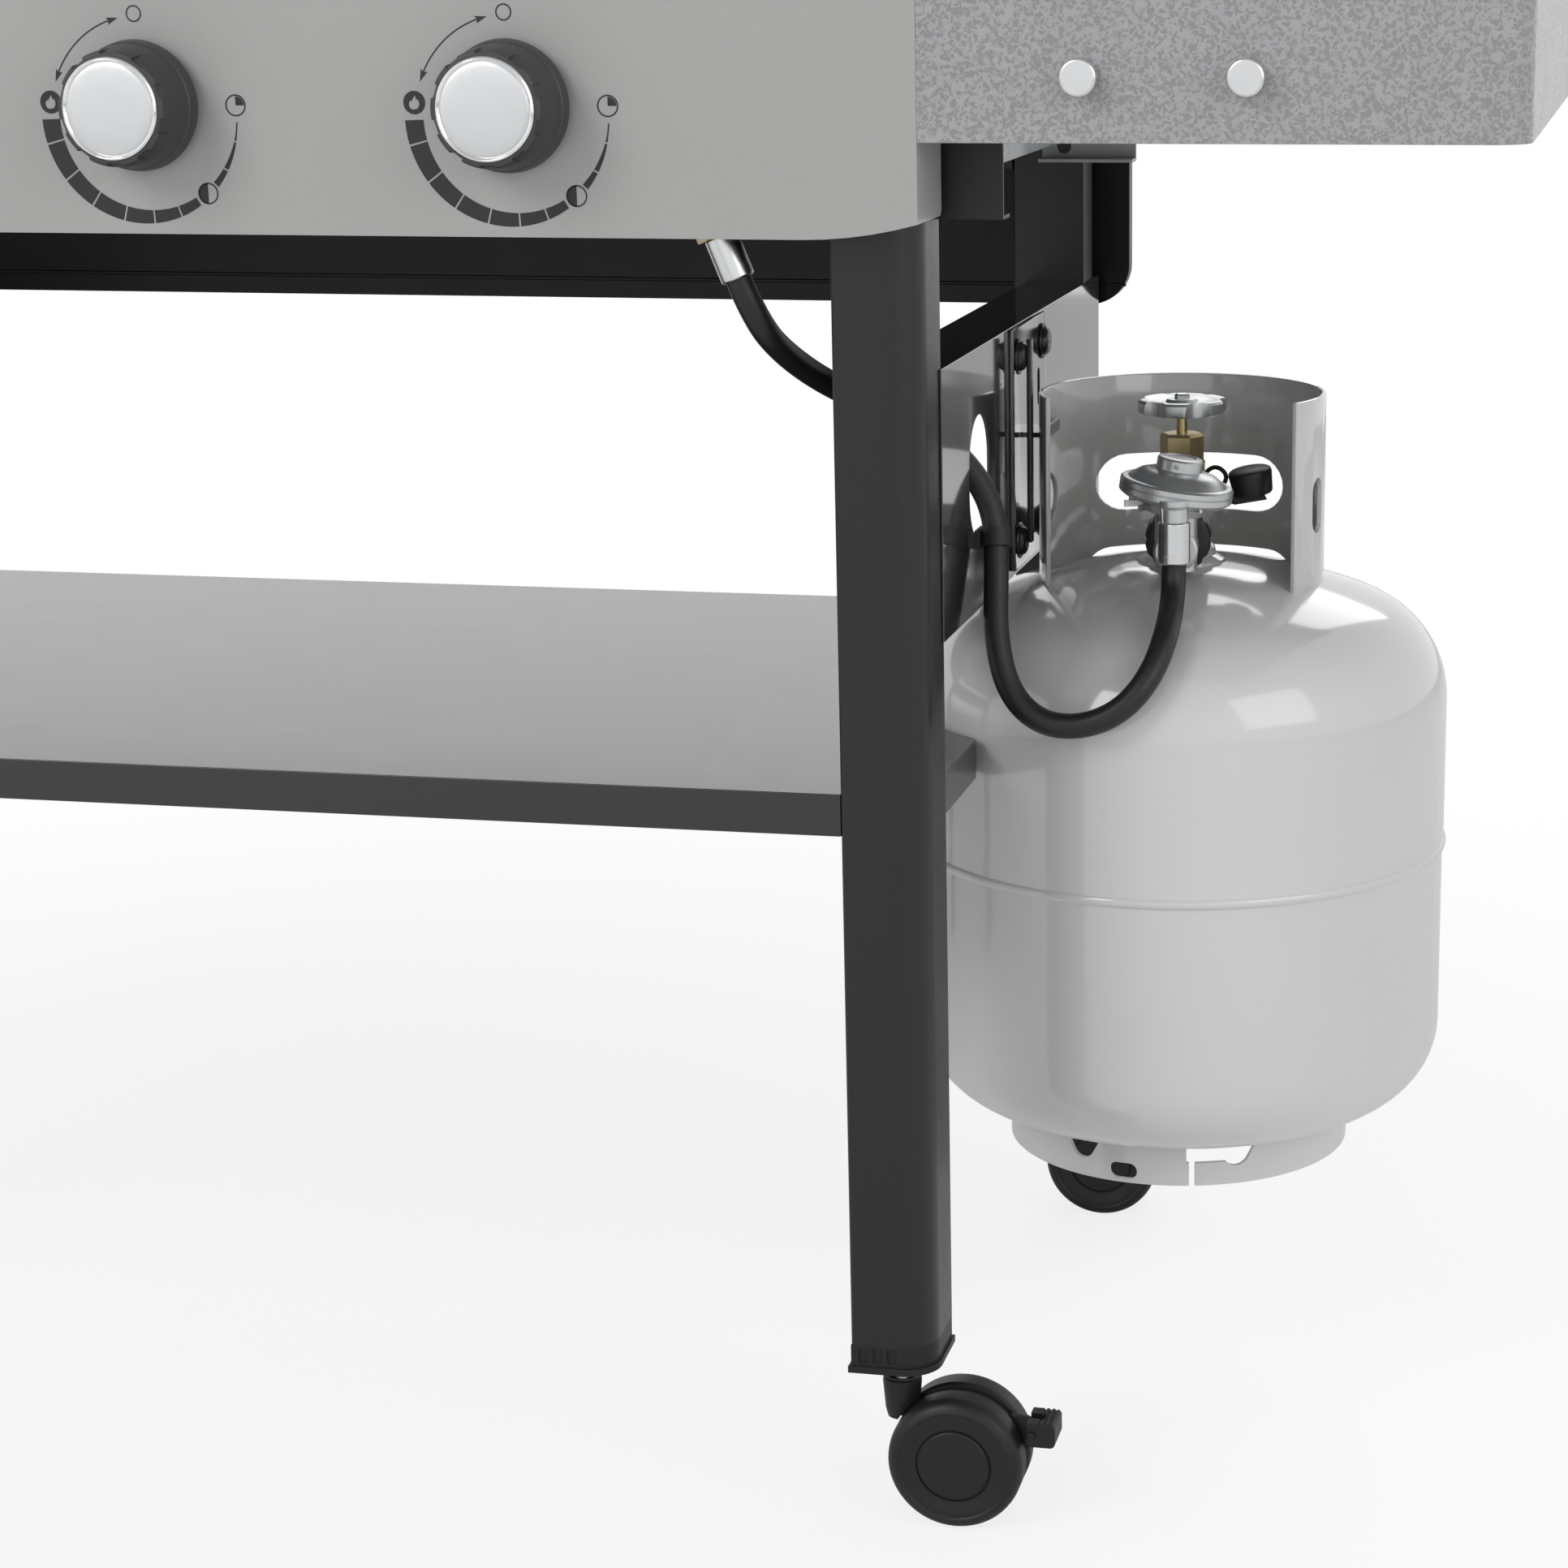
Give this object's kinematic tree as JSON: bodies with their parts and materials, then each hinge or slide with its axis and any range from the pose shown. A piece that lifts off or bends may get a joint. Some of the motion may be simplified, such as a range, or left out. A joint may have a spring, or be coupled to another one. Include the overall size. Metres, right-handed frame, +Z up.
{
  "type": "gas barbecue grill",
  "caption": "Gas barbecue grill on a wheeled cart with hinged lid, control panel, side shelves, lower shelf and a side-hung gas bottle with hose and regulator.",
  "frame": {"origin": "middle of the object's box, on the ground under the wheels", "axes": "+Z up, +X to the user's right, -Y towards the user at the control panel"},
  "size_m": [1.618, 0.63, 1.1204],
  "materials": {
    "leg_black": "satin black powder coat",
    "panel_grey": "satin warm grey paint",
    "hammertone": "hammered grey paint",
    "shelf_grey": "smooth light grey enamel",
    "steel_bright": "bright zinc-plated steel",
    "enamel_black": "gloss black enamel",
    "cast_iron": "seasoned cast iron",
    "burner_steel": "stainless steel",
    "knob_plastic": "matt dark grey plastic",
    "cap_silver": "satin silver cap",
    "brass": "plain brass",
    "die_cast": "grey zinc die casting",
    "plastic_black": "black nylon",
    "tank_white": "gloss warm light grey paint",
    "hose_rubber": "black rubber",
    "wheel_plastic": "dark grey plastic tread",
    "dial_face": "white dial"
  },
  "bodies": {
    "root": {"bottom_shelf": "shelf_grey", "burner_tubes": "burner_steel", "control_panel": "panel_grey", "cook_box": "hammertone", "ferrule_manifold": "steel_bright", "flame_tamers": "burner_steel", "frame_rails": "leg_black", "gas_inlet": "brass", "gas_valves": "brass", "hinge_brackets": "leg_black", "hose": "hose_rubber", "hose_clip": "plastic_black", "leg_front_left": "leg_black", "leg_front_right": "leg_black", "leg_plugs": "plastic_black", "leg_rear_left": "leg_black", "leg_rear_right": "leg_black", "manifold": "steel_bright", "rear_panel": "enamel_black", "shelf_brackets": "panel_grey", "side_panel_left": "shelf_grey", "side_panel_right": "shelf_grey", "side_shelf_left": "hammertone", "side_shelf_right": "hammertone", "tank_bracket": "leg_black", "tool_pegs": "steel_bright"},
    "lid_body": {"lid": "enamel_black", "lid_handle": "steel_bright", "handle_posts": "plastic_black", "temperature_gauge": "burner_steel"},
    "needle": {"gauge_needle": "plastic_black"},
    "grate_left_body": {"grate_left": "cast_iron"},
    "grate_right_body": {"grate_right": "cast_iron"},
    "grease_tray_body": {"grease_tray": "burner_steel"},
    "bottle": {"gas_tank": "tank_white", "foot_ring": "tank_white", "tank_collar": "tank_white", "tank_valve": "brass", "regulator": "die_cast", "ferrule_regulator": "steel_bright"},
    "handwheel": {"valve_handwheel": "die_cast"},
    "nut": {"coupling_nut": "plastic_black"},
    "stem_left": {"valve_stem_left": "steel_bright"},
    "knob_left_body": {"knob_left": "knob_plastic"},
    "stem_inner_left": {"valve_stem_inner_left": "steel_bright"},
    "knob_inner_left_body": {"knob_inner_left": "knob_plastic"},
    "stem_inner_right": {"valve_stem_inner_right": "steel_bright"},
    "knob_inner_right_body": {"knob_inner_right": "knob_plastic"},
    "stem_right": {"valve_stem_right": "steel_bright"},
    "knob_right_body": {"knob_right": "knob_plastic"},
    "swivel_front_left": {"caster_front_left": "plastic_black"},
    "wheelset_front_left": {"wheels_front_left": "wheel_plastic"},
    "brake_left": {"brake_tab_left": "plastic_black"},
    "swivel_front_right": {"caster_front_right": "plastic_black"},
    "wheelset_front_right": {"wheels_front_right": "wheel_plastic"},
    "brake_right": {"brake_tab_right": "plastic_black"},
    "swivel_rear_left": {"caster_rear_left": "plastic_black"},
    "wheelset_rear_left": {"wheels_rear_left": "wheel_plastic"},
    "swivel_rear_right": {"caster_rear_right": "plastic_black"},
    "wheelset_rear_right": {"wheels_rear_right": "wheel_plastic"}
  },
  "joints": [
    {"name": "lid_hinge", "type": "hinge", "parent": "root", "child": "lid_body", "pos_m": [0, 0.307, 0.893], "axis": [-1, 0, 0], "range_deg": [0, 88]},
    {"name": "gauge_needle_turn", "type": "hinge", "parent": "lid_body", "child": "needle", "pos_m": [0, -0.19594, 0.9774], "axis": [0, -0.9411, 0.3382], "range_deg": [-240, 0]},
    {"name": "grate_left_lift", "type": "slide", "parent": "root", "child": "grate_left_body", "axis": [0, 0, 1], "range_m": [0, 0.04]},
    {"name": "grate_right_lift", "type": "slide", "parent": "root", "child": "grate_right_body", "axis": [0, 0, 1], "range_m": [0, 0.04]},
    {"name": "grease_tray_slide", "type": "slide", "parent": "root", "child": "grease_tray_body", "axis": [-1, 0, 0], "range_m": [0, 0.3]},
    {"name": "bottle_lift", "type": "slide", "parent": "root", "child": "bottle", "axis": [0, 0, 1], "range_m": [0, 0.005]},
    {"name": "handwheel_turn", "type": "hinge", "parent": "bottle", "child": "handwheel", "pos_m": [0.6003, 0.0088, 0.585], "axis": [0, 0, 1], "range_deg": [0, 720]},
    {"name": "coupling_nut_turn", "type": "hinge", "parent": "bottle", "child": "nut", "pos_m": [0.60427, -0.02899, 0.519], "axis": [0.1045, -0.9945, 0], "continuous": true},
    {"name": "knob_left_push", "type": "slide", "parent": "root", "child": "stem_left", "axis": [0, 1, 0], "range_m": [0, 0.004], "stiffness_N_per_m": 1200},
    {"name": "knob_left_turn", "type": "hinge", "parent": "stem_left", "child": "knob_left_body", "pos_m": [-0.29925, -0.299, 0.775], "axis": [0, -1, 0], "range_deg": [0, 270]},
    {"name": "knob_inner_left_push", "type": "slide", "parent": "root", "child": "stem_inner_left", "axis": [0, 1, 0], "range_m": [0, 0.004], "stiffness_N_per_m": 1200},
    {"name": "knob_inner_left_turn", "type": "hinge", "parent": "stem_inner_left", "child": "knob_inner_left_body", "pos_m": [-0.09975, -0.299, 0.775], "axis": [0, -1, 0], "range_deg": [0, 270]},
    {"name": "knob_inner_right_push", "type": "slide", "parent": "root", "child": "stem_inner_right", "axis": [0, 1, 0], "range_m": [0, 0.004], "stiffness_N_per_m": 1200},
    {"name": "knob_inner_right_turn", "type": "hinge", "parent": "stem_inner_right", "child": "knob_inner_right_body", "pos_m": [0.09975, -0.299, 0.775], "axis": [0, -1, 0], "range_deg": [0, 270]},
    {"name": "knob_right_push", "type": "slide", "parent": "root", "child": "stem_right", "axis": [0, 1, 0], "range_m": [0, 0.004], "stiffness_N_per_m": 1200},
    {"name": "knob_right_turn", "type": "hinge", "parent": "stem_right", "child": "knob_right_body", "pos_m": [0.29925, -0.299, 0.775], "axis": [0, -1, 0], "range_deg": [0, 270]},
    {"name": "swivel_front_left_turn", "type": "hinge", "parent": "root", "child": "swivel_front_left", "pos_m": [-0.482, -0.232, 0.107], "axis": [0, 0, 1], "continuous": true},
    {"name": "wheels_front_left_roll", "type": "hinge", "parent": "swivel_front_left", "child": "wheelset_front_left", "pos_m": [-0.449, -0.232, 0.038], "axis": [0, 1, 0], "continuous": true},
    {"name": "brake_left_press", "type": "hinge", "parent": "swivel_front_left", "child": "brake_left", "pos_m": [-0.407, -0.232, 0.055], "axis": [0, 1, 0], "range_deg": [0, 12]},
    {"name": "swivel_front_right_turn", "type": "hinge", "parent": "root", "child": "swivel_front_right", "pos_m": [0.482, -0.232, 0.107], "axis": [0, 0, 1], "continuous": true},
    {"name": "wheels_front_right_roll", "type": "hinge", "parent": "swivel_front_right", "child": "wheelset_front_right", "pos_m": [0.515, -0.232, 0.038], "axis": [0, 1, 0], "continuous": true},
    {"name": "brake_right_press", "type": "hinge", "parent": "swivel_front_right", "child": "brake_right", "pos_m": [0.557, -0.232, 0.055], "axis": [0, 1, 0], "range_deg": [0, 12]},
    {"name": "swivel_rear_left_turn", "type": "hinge", "parent": "root", "child": "swivel_rear_left", "pos_m": [-0.482, 0.246, 0.107], "axis": [0, 0, 1], "continuous": true},
    {"name": "wheels_rear_left_roll", "type": "hinge", "parent": "swivel_rear_left", "child": "wheelset_rear_left", "pos_m": [-0.449, 0.246, 0.038], "axis": [0, 1, 0], "continuous": true},
    {"name": "swivel_rear_right_turn", "type": "hinge", "parent": "root", "child": "swivel_rear_right", "pos_m": [0.482, 0.246, 0.107], "axis": [0, 0, 1], "continuous": true},
    {"name": "wheels_rear_right_roll", "type": "hinge", "parent": "swivel_rear_right", "child": "wheelset_rear_right", "pos_m": [0.515, 0.246, 0.038], "axis": [0, 1, 0], "continuous": true}
  ]
}
